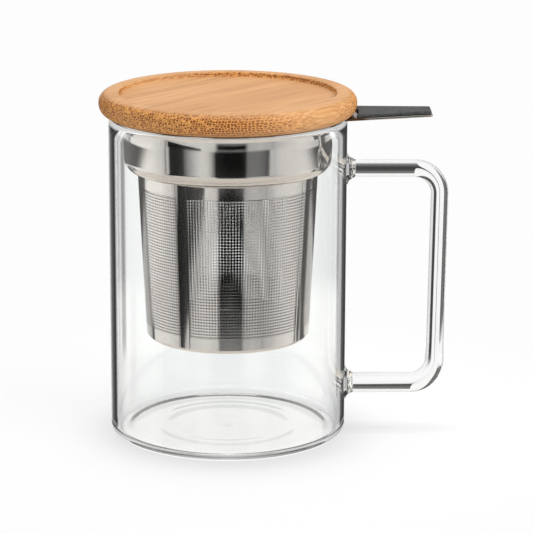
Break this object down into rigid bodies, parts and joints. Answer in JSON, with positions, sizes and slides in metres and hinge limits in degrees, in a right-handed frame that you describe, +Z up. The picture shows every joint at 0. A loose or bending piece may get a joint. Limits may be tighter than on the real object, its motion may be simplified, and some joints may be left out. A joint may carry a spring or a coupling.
{
  "type": "lidded tea mug with infuser",
  "caption": "Straight glass tea mug with a round rod handle, a perforated steel infuser that hangs on its rim by a flange with a gripped tab, and a bamboo lid with a shallow dish.",
  "frame": {"origin": "centre of the mug's foot, on the surface it stands on", "axes": "+Z up the mug's axis, +X towards the handle and the infuser's tab"},
  "size_m": [0.1176, 0.0864, 0.117],
  "materials": {
    "clear_glass": "clear, fire polished",
    "clear_glass_rod": "clear, fire polished",
    "bright_steel": "bright stainless, fine draw lines",
    "perforated_steel": "bright stainless, perforated",
    "black_silicone": "matte, finely grained",
    "bamboo": "sanded and oiled bamboo",
    "clear_silicone": "translucent silicone"
  },
  "bodies": {
    "mug": {"mug_body": "clear_glass", "mug_handle": "clear_glass_rod"},
    "infuser": {"infuser_collar": "bright_steel", "basket_wall": "perforated_steel", "basket_base": "perforated_steel", "infuser_tab": "bright_steel", "tab_grip": "black_silicone"},
    "seal": {"lid_seal": "clear_silicone"},
    "lid": {"lid_disc": "bamboo"}
  },
  "joints": [
    {"name": "infuser_lift", "type": "slide", "parent": "mug", "child": "infuser", "axis": [0, 0, 1], "range_m": [0, 0.085]},
    {"name": "lid_lift", "type": "slide", "parent": "infuser", "child": "seal", "axis": [0, 0, 1], "range_m": [0, 0.04]},
    {"name": "lid_turn", "type": "hinge", "parent": "seal", "child": "lid", "pos_m": [0, 0, 0.105], "axis": [0, 0, 1], "continuous": true}
  ]
}
